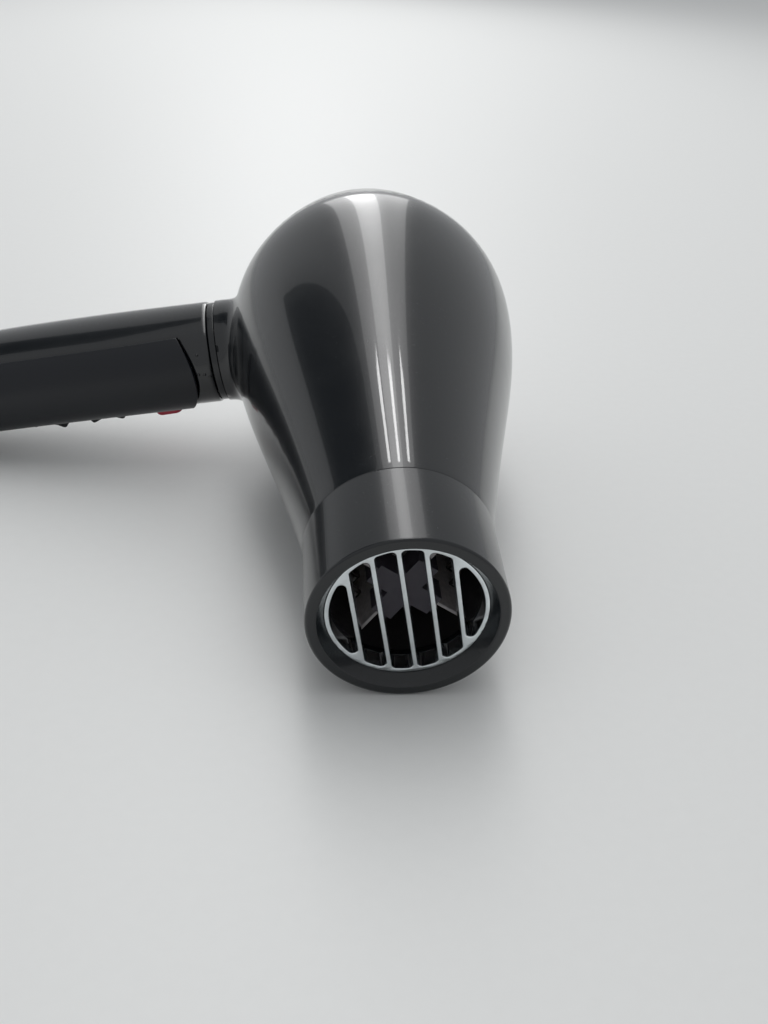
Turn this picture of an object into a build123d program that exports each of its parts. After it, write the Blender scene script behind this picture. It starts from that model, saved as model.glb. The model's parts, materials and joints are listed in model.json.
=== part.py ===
from build123d import *
import os
from math import asin, atan2, cos, degrees, radians, sin, sqrt

# A hair dryer lying on its side, in millimetres. Everything is modelled about the barrel first:
# origin at the middle of the outlet rim, +Y back along the barrel axis, -X down the handle,
# +Z out of the side that faces up. placed() then lays the whole dryer on the floor at z = 0.

# Outlet end
rim_radius = 25.0
rim_round = 0.9
rim_face_width = 2.8
collar_length = 28.7
collar_sleeve_length = 7.0
collar_wall = 1.3
grille_recess = 3.4
grille_radius = 20.2
grille_ring_width = 1.2
grille_depth = 5.0
slat_count = 5
slat_pitch = 6.45
slat_front_width = 1.0
slat_back_width = 1.8

# Barrel shell
shell_wall = 2.4
barrel_front_radius = 24.8
barrel_mid_radius = 35.6
barrel_mid_y = 80.4
barrel_belly_radius = 45.4
barrel_belly_y = 132.0
barrel_rear_radius = 43.2
barrel_rear_y = 158.0
barrel_front_flare = 0.17
barrel_rear_taper = -0.34

# Rear cover and filter
cover_length = 24.0
cover_end_radius = 31.0
cover_wall = 2.2
cover_skirt_length = 5.0
cover_slot_count = 28
cover_slot_width = 2.2
cover_slot_inner_radius = 14.0
cover_slot_border = 3.0
filter_thickness = 1.2
filter_hole_radius = 1.5

# Handle
handle_start = 52.4
handle_end = 176.0
handle_root_y = 145.5
handle_sweep = 2.8
handle_tip_sweep = -6.0
handle_half_depth = 19.3
handle_root_half_depth = 17.8
handle_tip_half_depth = 15.0
handle_half_width = 15.6
handle_root_half_width = 16.4
handle_tip_half_width = 12.6
handle_wall = 2.2
handle_tip_round = 4.0
panel_depth = 6.8
panel_start = 62.0
panel_end = 168.0
neck_flare = 5.5
neck_ring_length = 2.4
neck_ring_inset = 0.5
neck_cover_gap = 0.6
neck_lean = 0.55
cable_passage_forward = 3.0
cable_passage_inset = 4.5
screw_distances = (133.0, 160.0)
screw_radius = 1.4
screw_head_radius = 2.8
screw_head_height = 1.6
screw_boss_radius = 3.2
screw_length = 22.0
screw_sink = 0.8

# Switches, all on the side that faces the floor
switch_forward = 3.6
switch_width = 7.6
button_distance = 72.0
button_length = 9.0
button_travel = 2.5
button_proud = 2.1
speed_rocker_distance = 93.0
heat_rocker_distance = 112.5
rocker_radius = 7.5
rocker_tilt = 10.0
rocker_pivot_depth = 3.2
rocker_pin_radius = 1.0
bezel_start = 63.5
bezel_end = 123.5
bezel_proud = 0.5
bezel_thickness = 2.4
bezel_half_width = 6.4
bezel_ear_width = 1.2

# Heater
tube_radius = 20.6
tube_wall = 0.6
tube_front = 11.0
tube_back = 92.0
board_thickness = 0.8
board_front = 13.5
board_back = 90.0
hub_front = 11.5
hub_length = 7.0
hub_arm_length = 9.5
hub_arm_width = 6.0
coil_radius = 16.6
coil_wire_radius = 0.6
coil_pitch = 6.5
coil_turns = 9
coil_front = 24.0

# Fan and motor
duct_radius = 37.0
duct_wall = 1.6
duct_front = 112.0
duct_back = 151.0
vane_count = 9
vane_thickness = 1.4
motor_radius = 15.0
motor_front = 110.0
motor_back = 137.0
motor_can_wall = 1.2
magnet_thickness = 2.4
shaft_radius = 1.6
fan_front = 140.0
fan_back = 150.0
fan_hub_radius = 11.0
fan_blade_count = 7
fan_blade_thickness = 1.4
fan_blade_pitch_angle = 38.0

# Terminal block
terminal_distance = 146.0
terminal_length = 11.0
terminal_width = 18.0

# Cord inlet at the handle's tip
inlet_bore_radius = 4.0
inlet_wall = 1.8
inlet_flange_radius = 8.0
inlet_length = 12.0

# Fits and gaps
part_gap = 0.2
moving_gap = 0.4
running_gap = 0.05
fan_tip_gap = 0.9

# Handle stations: share of the handle's length, backward sweep, half depth, half width
handle_stations = [
    (0.0, 0.0, handle_root_half_depth, handle_root_half_width),
    (0.2, 0.55 * handle_sweep, handle_half_depth - 0.3, handle_half_width + 0.4),
    (0.45, handle_sweep, handle_half_depth, handle_half_width),
    (0.7, 0.75 * handle_sweep, handle_half_depth - 0.8, handle_half_width - 0.8),
    (1.0, handle_tip_sweep, handle_tip_half_depth, handle_tip_half_width),
]


def station_at(distance):
    """Centre y, half depth and half width of the handle at a distance from the barrel axis."""
    share = (distance - handle_start) / (handle_end - handle_start)
    for low, high in zip(handle_stations, handle_stations[1:]):
        if share <= high[0]:
            break
    mix = (share - low[0]) / (high[0] - low[0])
    sweep, depth, width = [a + (b - a) * mix for a, b in zip(low[1:], high[1:])]
    return handle_root_y + sweep, depth, width


def tube(outer, inner, front, back):
    """Straight tube round the barrel axis."""
    length = back - front
    return Pos(0, (front + back) / 2, 0) * Rot(X=90) * (Cylinder(outer, length) - Cylinder(inner, length))


def rod(radius, front, back):
    """Solid cylinder on the barrel axis."""
    return Pos(0, (front + back) / 2, 0) * Rot(X=90) * Cylinder(radius, back - front)


def turned(edges):
    """Solid of revolution about the barrel axis, from a closed outline of (radius, y)."""
    return revolve(make_face(edges), Axis.Y)


def slab(x_low, x_high, y_low, y_high, z_low, z_high):
    size = (x_high - x_low, y_high - y_low, z_high - z_low)
    middle = ((x_low + x_high) / 2, (y_low + y_high) / 2, (z_low + z_high) / 2)
    return Pos(*middle) * Box(*size)


def oval(distance, centre_y, half_depth, half_width):
    """Cross-section across the handle, at a distance from the barrel axis."""
    plane = Plane(origin=(-distance, centre_y, 0), x_dir=(0, 1, 0), z_dir=(-1, 0, 0))
    return plane * Ellipse(half_depth, half_width)


def barrel_line(inset):
    return Spline(
        (barrel_front_radius - inset, collar_length),
        (barrel_mid_radius - inset, barrel_mid_y),
        (barrel_belly_radius - inset, barrel_belly_y),
        (barrel_rear_radius - inset, barrel_rear_y),
        tangents=((barrel_front_flare, 1), (barrel_rear_taper, 1)),
    )


def barrel_solid(inset):
    line = barrel_line(inset)
    front = line @ 0
    back = line @ 1
    return turned(line + Polyline(back, (0, back.Y), (0, front.Y), front))


def handle_solid(inset):
    length = handle_end - handle_start
    sections = []
    for share, sweep, depth, width in handle_stations:
        distance = handle_start + share * length
        sections.append(oval(distance, handle_root_y + sweep, depth - inset, width - inset))
    return loft(sections)


def neck_solid():
    """Flared root from inside the barrel out to the neck ring. Its rear side overhangs the rear cover."""
    end = handle_start - neck_ring_length
    shell_edge = sqrt(barrel_belly_radius**2 - handle_root_half_width**2)
    sections = []
    stages = ((shell_edge - 10, neck_flare), (shell_edge - 1, 0.3 * neck_flare), (end - part_gap, 0))
    for distance, flare in stages:
        # the flare grows forward and sideways only, so the root stays clear of the rear cover
        depth = handle_root_half_depth + flare
        width = handle_root_half_width + 2 * flare
        lean = (end - distance) * neck_lean
        sections.append(oval(distance, handle_root_y - flare - lean, depth, width))
    cover_room = rod(barrel_rear_radius + neck_cover_gap, barrel_rear_y, barrel_rear_y + cover_length)
    return loft(sections) - cover_room


def cable_passage():
    """Oval way for the wires from the handle into the barrel."""
    depth = handle_root_half_depth - cable_passage_inset
    width = handle_root_half_width - cable_passage_inset
    centre = handle_root_y - cable_passage_forward
    return loft([oval(20, centre - 4, depth, width), oval(handle_start + 2, centre, depth, width)])


def barrel_shell():
    outside = barrel_solid(0) + neck_solid()
    return outside - barrel_solid(shell_wall) - cable_passage()


def neck_ring():
    front = handle_start - neck_ring_length
    depth = handle_root_half_depth
    width = handle_root_half_width
    sections = []
    for distance in (front, handle_start - part_gap):
        sections.append(oval(distance, handle_root_y, depth - neck_ring_inset, width - neck_ring_inset))
    return loft(sections) - cable_passage()


def front_collar():
    mouth_radius = rim_radius - rim_face_width
    seat_radius = grille_radius + part_gap / 2
    seat_back = grille_recess + grille_depth + part_gap
    sleeve_radius = barrel_front_radius - shell_wall - part_gap
    outline = Polyline(
        (rim_radius, rim_round),
        (rim_radius, collar_length - part_gap),
        (sleeve_radius, collar_length - part_gap),
        (sleeve_radius, collar_length + collar_sleeve_length),
        (sleeve_radius - collar_wall, collar_length + collar_sleeve_length),
        (sleeve_radius - collar_wall, seat_back + 2 + part_gap),
        (seat_radius - grille_ring_width, seat_back + 2),
        (seat_radius - grille_ring_width, seat_back),
        (seat_radius, seat_back),
        (seat_radius, grille_recess),
        (mouth_radius, 0),
        (rim_radius - rim_round, 0),
    )
    corner = ThreePointArc(
        (rim_radius - rim_round, 0),
        (rim_radius - rim_round * (1 - cos(radians(45))), rim_round * (1 - sin(radians(45)))),
        (rim_radius, rim_round),
    )
    return turned(outline + corner)


def grille_slat(offset):
    """One slat, narrow at its front edge and wider at its back."""
    half_front = slat_front_width / 2
    half_back = slat_back_width / 2
    back = grille_recess + grille_depth
    outline = Polyline(
        (offset - half_front, grille_recess),
        (offset + half_front, grille_recess),
        (offset + half_back, back),
        (offset - half_back, back),
        close=True,
    )
    return extrude(make_face(outline), amount=grille_radius, both=True)


def outlet_grille():
    back = grille_recess + grille_depth
    inner = grille_radius - grille_ring_width
    grille = tube(grille_radius, inner, grille_recess, back)
    bore = rod(inner + 0.3, grille_recess, back)
    for index in range(slat_count):
        offset = (index - (slat_count - 1) / 2) * slat_pitch
        grille += grille_slat(offset) & bore
    return grille


def cover_profile(inset):
    """Outer line of the rear cover, from the shell's edge over to the flat end."""
    end_y = barrel_rear_y + cover_length
    return Spline(
        (barrel_rear_radius - inset, barrel_rear_y + part_gap),
        (cover_end_radius + 6 - inset, barrel_rear_y + 0.72 * cover_length),
        (cover_end_radius - inset, end_y - inset),
        tangents=((barrel_rear_taper, 1), (-1, 0.25)),
    )


def cover_solid(inset):
    line = cover_profile(inset)
    front = line @ 0
    back = line @ 1
    return turned(line + Polyline(back, (0, back.Y), (0, front.Y), front))


def rear_cover():
    start = barrel_rear_y + part_gap
    skirt_radius = barrel_rear_radius - shell_wall - moving_gap
    cover = cover_solid(0) - cover_solid(cover_wall)
    cover += tube(skirt_radius, skirt_radius - 1.6, start - cover_skirt_length, start + cover_wall)
    slot_length = cover_end_radius - cover_slot_border - cover_slot_inner_radius
    slot_middle = cover_slot_inner_radius + slot_length / 2
    end_y = barrel_rear_y + cover_length
    cutters = []
    for index in range(cover_slot_count):
        angle = 360 * index / cover_slot_count
        cutters.append(Rot(Y=angle) * Pos(slot_middle, end_y, 0) * Box(slot_length, 12, cover_slot_width))
    cover -= cutters
    cover += tube(slot_middle + 0.9, slot_middle - 0.9, end_y - cover_wall - 0.6, end_y - 0.6)
    return cover


def filter_screen():
    """Perforated disc with a rim, held against the inside of the rear cover."""
    radius = cover_end_radius - 1.0
    front = barrel_rear_y + cover_length - cover_wall - 0.8 - part_gap - filter_thickness
    screen = rod(radius, front, front + filter_thickness)
    holes = []
    for ring in range(1, 7):
        ring_radius = ring * 4.4
        count = 6 * ring
        for index in range(count):
            spot = Rot(Y=360 * index / count) * Pos(ring_radius, front + filter_thickness / 2, 0) * Rot(X=90)
            holes.append(spot * Cylinder(filter_hole_radius, 3 * filter_thickness))
    return screen - holes


def panel_region(gap):
    """Everything forward of the parting line between the handle's back shell and its front panel."""
    points = []
    for share in (0, 0.35, 0.7, 1):
        distance = panel_start + share * (panel_end - panel_start)
        centre, depth, width = station_at(distance)
        points.append((-distance, centre - depth + panel_depth - gap))
    bottom = (points[-1][0] + gap, handle_root_y - 60)
    points[0] = (points[0][0] - gap, points[0][1])
    points[-1] = (points[-1][0] + gap, points[-1][1])
    line = Spline(*points)
    start = line @ 0
    finish = line @ 1
    rise = ThreePointArc(start, (start.X + 2.5, start.Y - 3.5), (start.X + 4, start.Y - 8))
    crest = rise @ 1
    top = (crest.X, handle_root_y - 60)
    region = make_face(line + rise + Polyline(crest, top, bottom, finish))
    return extrude(region, amount=40, both=True)


def handle_boss(distance):
    """Place of one handle screw: the y of the shell's back surface and of the front panel."""
    centre, depth, width = station_at(distance)
    return centre + depth, centre - depth


def upright(distance, y, radius, length):
    """Cylinder along Y in the handle, from y forward by length."""
    return Pos(-distance, y - length / 2, 0) * Rot(X=90) * Cylinder(radius, length)


def handle_tube():
    outside = handle_solid(0)
    tip = outside.faces().sort_by(Axis.X)[0]
    outside = fillet(tip.edges(), handle_tip_round)
    inside = handle_solid(handle_wall)
    room = slab(-handle_end + handle_wall, 0, 0, 300, -60, 60)
    return outside - (inside & room)


def bezel_box(grow):
    centre, depth, width = station_at((bezel_start + bezel_end) / 2)
    middle = centre - switch_forward
    half = bezel_half_width + grow
    return slab(-bezel_end - grow, -bezel_start + grow, middle - half, middle + half, -60, -3)


def inlet_hole(radius):
    centre = station_at(handle_end)[0]
    return Pos(-handle_end, centre, 0) * Rot(Y=90) * Cylinder(radius, 30)


def handle_shell():
    shell = handle_tube()
    for distance in screw_distances:
        back, front = handle_boss(distance)
        shell += upright(distance, back + 1, screw_boss_radius, 16) & handle_solid(handle_wall / 2)
        head_room = 3 + screw_sink + screw_head_height
        shell -= upright(distance, back + 3, screw_head_radius + part_gap, head_room)
        shell -= upright(distance, back + 1, screw_radius + part_gap, 40)
    shell -= panel_region(0)
    shell -= bezel_box(part_gap)
    shell -= inlet_hole(inlet_bore_radius + inlet_wall + part_gap)
    return shell


def handle_front_panel():
    kept = handle_tube() & panel_region(part_gap)
    for distance in screw_distances:
        back, front = handle_boss(distance)
        reach = back - 15 - part_gap - front - 1
        post = upright(distance, back - 15 - part_gap, screw_boss_radius, reach)
        post -= upright(distance, back, screw_radius + part_gap, screw_length + 4)
        kept += post
    kept -= bezel_box(part_gap)
    return kept


def handle_screws():
    screws = []
    for distance in screw_distances:
        back, front = handle_boss(distance)
        top = back - screw_sink
        head = upright(distance, top, screw_head_radius, screw_head_height)
        head -= Pos(-distance, top, 0) * Box(1.0, 1.4, 4.0)
        head -= Pos(-distance, top, 0) * Box(4.0, 1.4, 1.0)
        screws.append(head + upright(distance, top - screw_head_height, screw_radius, screw_length))
    return Compound(children=screws)


def switch_frame(distance):
    """Middle y of a switch and the z of the bezel's outer face above it."""
    centre, depth, width = station_at(distance)
    middle = centre - switch_forward
    face = -(width * sqrt(1 - (switch_forward / depth) ** 2) + bezel_proud)
    return middle, face


def rocker_pivot(distance):
    middle, face = switch_frame(distance)
    return middle, face + rocker_pivot_depth


def rocker_opening(distance):
    middle, pivot_z = rocker_pivot(distance)
    reach = rocker_radius + moving_gap
    half_width = switch_width / 2 + moving_gap
    return slab(-distance - reach, -distance + reach, middle - half_width, middle + half_width, -40, 0)


def button_outline(grow):
    return RectangleRounded(button_length + 2 * grow, switch_width + 2 * grow, 2.4 + grow)


def switch_bezel():
    skin = handle_solid(-bezel_proud) - handle_solid(bezel_thickness - bezel_proud)
    bezel = skin & bezel_box(0)
    reach = switch_width / 2 + moving_gap + bezel_ear_width
    for distance in (speed_rocker_distance, heat_rocker_distance):
        middle, pivot_z = rocker_pivot(distance)
        ears = slab(-3, 3, middle - reach, middle + reach, pivot_z - 2.2, pivot_z + 2.2)
        bezel += Pos(-distance, 0, 0) * ears
        bezel -= rocker_opening(distance)
        pin_hole = Rot(X=90) * Cylinder(rocker_pin_radius + running_gap, 2 * bezel_half_width)
        bezel -= Pos(-distance, middle, pivot_z) * pin_hole
    middle, face = switch_frame(button_distance)
    bezel -= Pos(-button_distance, middle, -20) * extrude(button_outline(moving_gap), amount=20)
    return bezel


def rocker(distance):
    """Two-way rocker with rounded ends about its pivot and a shallow saddle on top."""
    middle, pivot_z = rocker_pivot(distance)
    high = radians(45)
    low = radians(-14)
    r = rocker_radius
    left_top = (-r * cos(high), r * sin(high))
    right_top = (r * cos(high), r * sin(high))
    left_low = (-r * cos(low), r * sin(low))
    right_low = (r * cos(low), r * sin(low))
    mid = radians(15)
    outline = (
        ThreePointArc(left_top, (0, 0.68 * r * sin(high)), right_top)
        + ThreePointArc(right_top, (r * cos(mid), r * sin(mid)), right_low)
        + Line(right_low, left_low)
        + ThreePointArc(left_low, (-r * cos(mid), r * sin(mid)), left_top)
    )
    body = extrude(make_face(outline), amount=switch_width / 2, both=True)
    body += Cylinder(rocker_pin_radius, switch_width + 2 * moving_gap + 2)
    # local x along the handle, local y outwards (towards -Z), local z across
    return Pos(-distance, middle, pivot_z) * Rot(X=-90) * body


def speed_rocker():
    return rocker(speed_rocker_distance)


def heat_rocker():
    middle, pivot_z = rocker_pivot(heat_rocker_distance)
    axis = Axis((-heat_rocker_distance, middle, pivot_z), (0, 1, 0))
    return rocker(heat_rocker_distance).rotate(axis, rocker_tilt)


def cool_shot_button():
    middle, face = switch_frame(button_distance)
    inner_face = face + bezel_thickness + 1.7
    cap = extrude(button_outline(0), amount=button_proud + bezel_thickness + 3.2)
    cap = fillet(cap.faces().sort_by(Axis.Z)[0].edges(), 0.8)
    button = Pos(-button_distance, middle, face - button_proud) * cap
    flange = extrude(button_outline(1.0), amount=1.2)
    return button + Pos(-button_distance, middle, inner_face + moving_gap) * flange


def button_seat():
    """z of the button's underside at rest."""
    middle, face = switch_frame(button_distance)
    return face + bezel_thickness + 3.2


def button_spring():
    middle, face = switch_frame(button_distance)
    start = button_seat() + 0.4
    height = button_travel + 2.6
    path = Helix(pitch=height / 4, height=height - 0.6, radius=2.2)
    wire = Plane(origin=path @ 0, z_dir=path % 0) * Circle(0.28)
    return Pos(-button_distance, middle, start) * sweep(wire, path=path)


def switch_body(distance, top_z):
    """Closed switch with three flat tabs, its working face at top_z."""
    middle = switch_frame(distance)[0]
    body = slab(-distance - 6.5, -distance + 6.5, middle - 5, middle + 5, top_z, top_z + 9)
    for shift in (-4, 0, 4):
        x = -distance + shift
        body += slab(x - 1.2, x + 1.2, middle - 0.4, middle + 0.4, top_z + 8.9, top_z + 12.5)
    return body


def speed_switch():
    return switch_body(speed_rocker_distance, rocker_pivot(speed_rocker_distance)[1] + 4.0)


def heat_switch():
    return switch_body(heat_rocker_distance, rocker_pivot(heat_rocker_distance)[1] + 4.0)


def cool_switch():
    return switch_body(button_distance, button_seat() + 0.4 + button_travel + 2.6 + 0.2)


def terminal_block():
    centre = station_at(terminal_distance)[0]
    block = Pos(-terminal_distance, centre, 0.5) * Box(terminal_length, terminal_width, 9)
    for shift in (-5, 5):
        block -= Pos(-terminal_distance, centre + shift, 5) * Cylinder(1.6, 6)
    return block


def cord_inlet():
    """Bush in the handle's tip that the mains cord would pass through."""
    centre = station_at(handle_end)[0]
    outside = Rot(Y=90) * Cylinder(inlet_bore_radius + inlet_wall, inlet_length)
    flange = Pos(inlet_length / 2 - 1.5, 0, 0) * Rot(Y=90) * Cylinder(inlet_flange_radius, 1.6)
    lip_radius = inlet_bore_radius + inlet_wall + 1.2
    lip = Pos(-inlet_length / 2 + 1.0, 0, 0) * Rot(Y=90) * Cylinder(lip_radius, 2.0)
    bush = outside + flange + lip - Rot(Y=90) * Cylinder(inlet_bore_radius, 2 * inlet_length)
    return Pos(-handle_end + inlet_length / 2 - 4.2, centre, 0) * bush


def mica_tube():
    return tube(tube_radius, tube_radius - tube_wall, tube_front, tube_back)


def board_angle(index):
    return 45 + 90 * index


def mica_board(index):
    """One of the two crossed boards that the heating wire is wound on."""
    half = tube_radius - tube_wall - part_gap
    middle_y = (board_front + board_back) / 2
    board = slab(-half, half, board_front, board_back, -board_thickness / 2, board_thickness / 2)
    slot = board_thickness / 2 + 0.1
    if index == 0:
        board -= slab(-slot, slot, board_front - 1, middle_y, -2, 2)
    else:
        board -= slab(-slot, slot, middle_y, board_back + 1, -2, 2)
    notch_floor = coil_radius - coil_wire_radius - 0.2
    for turn in range(coil_turns + 1):
        for side in (0, 1):
            angle = (board_angle(index) + 180 * side) % 360
            y = coil_front + coil_pitch * (turn + angle / 360)
            if y > coil_front + coil_pitch * coil_turns + coil_wire_radius:
                continue
            x = 1 if side == 0 else -1
            low, high = sorted((x * notch_floor, x * (half + 1)))
            board -= slab(low, high, y - 1.1, y + 1.1, -2, 2)
    return Rot(Y=board_angle(index)) * board


def mica_board_a():
    return mica_board(0)


def mica_board_b():
    return mica_board(1)


def heater_hub():
    """Cross-shaped clip that joins the front edges of the two boards."""
    half = hub_arm_length
    arm = slab(-half, half, hub_front, hub_front + hub_length, -hub_arm_width / 2, hub_arm_width / 2)
    slot_half = board_thickness / 2 + 0.1
    groove = slab(-half - 1, half + 1, board_front - 0.1, hub_front + hub_length + 1, -slot_half, slot_half)
    hub = Rot(Y=45) * arm + Rot(Y=135) * arm
    return hub - Rot(Y=45) * groove - Rot(Y=135) * groove


def heating_coil():
    path = Helix(pitch=coil_pitch, height=coil_pitch * coil_turns, radius=coil_radius)
    wire = Plane(origin=path @ 0, z_dir=path % 0) * Circle(coil_wire_radius)
    return Pos(0, coil_front, 0) * Rot(X=-90) * sweep(wire, path=path)


def on_board(index, along, y, lift):
    """A place lift above one face of a board, along its width and at a y."""
    return Rot(Y=board_angle(index)) * Pos(along, y, board_thickness / 2 + lift)


def thermostat():
    base = on_board(0, 8.0, 84.0, 0.7) * Box(7, 9, 1.4)
    blade = on_board(0, 8.0, 84.0, 2.3) * Box(5, 8, 0.5)
    post = on_board(0, 8.0, 87.0, 1.8) * Box(4, 1.8, 1.2)
    return base + blade + post


def thermal_fuse():
    body = on_board(1, 8.0, 82.0, 1.9) * Rot(X=90) * Cylinder(1.7, 8)
    leads = on_board(1, 8.0, 82.0, 1.9) * Rot(X=90) * Cylinder(0.4, 14)
    return body + leads


def air_funnel():
    """Cone that leads the air from the fan duct into the heater tube."""
    inner = tube_radius + part_gap
    wall = 1.2
    outline = Polyline(
        (inner, 84),
        (inner + wall, 84),
        (inner + wall, tube_back),
        (duct_radius, duct_front - part_gap),
        (duct_radius - wall, duct_front - part_gap),
        (inner, tube_back + 1.0),
        close=True,
    )
    return turned(outline)


def fan_duct():
    """Tube round the fan with the motor cup inside it, on guide vanes."""
    duct = tube(duct_radius, duct_radius - duct_wall, duct_front, duct_back)
    flange_radius = barrel_rear_radius - shell_wall - part_gap
    duct += tube(flange_radius, duct_radius - 0.5, duct_back - 2, duct_back)
    cup_inner = motor_radius + part_gap
    cup_outer = cup_inner + 1.4
    duct += tube(cup_outer, cup_inner, motor_front + 4, motor_back)
    reach = duct_radius - duct_wall / 2 - cup_outer + 0.6
    for index in range(vane_count):
        vane = Rot(X=16) * Box(reach, 17, vane_thickness)
        vane = Pos(cup_outer - 0.5 + reach / 2, (motor_front + motor_back) / 2 + 4, 0) * vane
        duct += Rot(Y=360 * index / vane_count) * vane
    return duct


def motor_can():
    back = motor_back
    can = tube(motor_radius, motor_radius - motor_can_wall, motor_front, back)
    wall = motor_can_wall
    for start in (motor_front, back - wall):
        can += tube(motor_radius - 0.2, bearing_outer_radius() + 0.05, start, start + wall)
    return can


def bearing_outer_radius():
    return shaft_radius + 2.2


def bearing(middle):
    return tube(bearing_outer_radius(), shaft_radius + running_gap, middle - 2.4, middle + 2.4)


def motor_bearings():
    wall = motor_can_wall
    return Compound(children=[bearing(motor_front + wall / 2), bearing(motor_back - wall / 2)])


def motor_magnets():
    outer = motor_radius - motor_can_wall - 0.1
    full = tube(outer, outer - magnet_thickness, motor_front + 5, motor_back - 5)
    gap = slab(-40, 40, 0, 300, -4, 4)
    return Compound(children=list((full - gap).solids()))


def motor_rotor():
    """Shaft, laminated core and commutator, turning as one piece."""
    core_radius = motor_radius - motor_can_wall - 0.1 - magnet_thickness - 0.6
    rotor = rod(shaft_radius, motor_front - 3, fan_back + 1)
    core = rod(core_radius, motor_front + 6, motor_back - 6)
    for index in range(5):
        core -= Rot(Y=72 * index) * Pos(core_radius, (motor_front + motor_back) / 2, 0) * Box(9, 40, 1.6)
    commutator = rod(shaft_radius + 2, motor_front + 4, motor_front + 6.2)
    return rotor + core + commutator


def fan_impeller():
    hub = rod(fan_hub_radius, fan_front, fan_back)
    hub -= rod(fan_hub_radius - 1.6, fan_front - 1, fan_back - 2)
    hub += rod(shaft_radius + 2.4, fan_front, fan_back - 1)
    tip = duct_radius - duct_wall - fan_tip_gap
    reach = tip - fan_hub_radius + 0.6
    swept = tube(tip, fan_hub_radius - 0.8, fan_front, fan_back)
    for index in range(fan_blade_count):
        blade = Pos(fan_hub_radius - 0.6 + reach / 2, (fan_front + fan_back) / 2, 0)
        blade = blade * Rot(X=fan_blade_pitch_angle) * Box(reach + 2, 22, fan_blade_thickness)
        hub += (Rot(Y=360 * index / fan_blade_count) * blade) & swept
    return hub - rod(shaft_radius, fan_front - 1, fan_back + 2)


def rectifier_board():
    """Small ring board in front of the motor, with four diodes."""
    y = motor_front - 5.2
    board = tube(13.0, shaft_radius + 2.6, y, y + 1.2)
    for index in range(4):
        board += Rot(Y=45 + 90 * index) * Pos(9, y - 1.2, 0) * Box(3, 2.6, 5)
    return board


def resting_angles():
    """Nose-down pitch and handle-down roll that let the rim, the belly and the handle share the floor."""
    line = barrel_line(0)
    pitch = max(atan2((line @ (n / 200)).X - rim_radius, (line @ (n / 200)).Y) for n in range(201))
    shrink = cos(pitch)
    rise = sin(pitch)
    depth_of_floor = rim_radius * shrink
    rolls = []
    for share, sweep, depth, width in handle_stations[2:]:
        distance = handle_start + share * (handle_end - handle_start)
        y = handle_root_y + sweep
        roll = 0.0
        for step in range(30):
            reach = sqrt((depth * rise) ** 2 + (width * shrink * cos(roll)) ** 2)
            roll = asin((depth_of_floor + y * rise - reach) / (distance * shrink))
        rolls.append(roll)
    return degrees(pitch), degrees(min(rolls))


makers = {
    "barrel_shell": barrel_shell,
    "front_collar": front_collar,
    "outlet_grille": outlet_grille,
    "rear_cover": rear_cover,
    "filter_screen": filter_screen,
    "neck_ring": neck_ring,
    "handle_shell": handle_shell,
    "handle_front_panel": handle_front_panel,
    "handle_screws": handle_screws,
    "switch_bezel": switch_bezel,
    "speed_rocker": speed_rocker,
    "heat_rocker": heat_rocker,
    "cool_shot_button": cool_shot_button,
    "button_spring": button_spring,
    "speed_switch": speed_switch,
    "heat_switch": heat_switch,
    "cool_switch": cool_switch,
    "terminal_block": terminal_block,
    "cord_inlet": cord_inlet,
    "mica_tube": mica_tube,
    "mica_board_a": mica_board_a,
    "mica_board_b": mica_board_b,
    "heater_hub": heater_hub,
    "heating_coil": heating_coil,
    "thermostat": thermostat,
    "thermal_fuse": thermal_fuse,
    "air_funnel": air_funnel,
    "fan_duct": fan_duct,
    "motor_can": motor_can,
    "motor_bearings": motor_bearings,
    "motor_magnets": motor_magnets,
    "motor_rotor": motor_rotor,
    "fan_impeller": fan_impeller,
    "rectifier_board": rectifier_board,
}

pitch_angle, roll_angle = resting_angles()
laid_down = Rot(X=pitch_angle) * Rot(Y=-roll_angle)
pieces = {name: laid_down * make() for name, make in makers.items()}
boxes = [piece.bounding_box(optimal=True) for piece in pieces.values()]
low = [min(getattr(box.min, axis) for box in boxes) for axis in "XYZ"]
high = [max(getattr(box.max, axis) for box in boxes) for axis in "XYZ"]
to_floor = Pos(-(low[0] + high[0]) / 2, -(low[1] + high[1]) / 2, -low[2])
placement = to_floor * laid_down

os.makedirs("parts", exist_ok=True)
for name, piece in pieces.items():
    export_step(to_floor * piece, f"parts/{name}.step")
print("pitch", round(pitch_angle, 3), "roll", round(roll_angle, 3), "shift", to_floor.position)
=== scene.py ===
import json
import math

import bmesh
import bpy
import numpy as np
from mathutils import Matrix, Vector
from mathutils.geometry import tessellate_polygon

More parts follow.
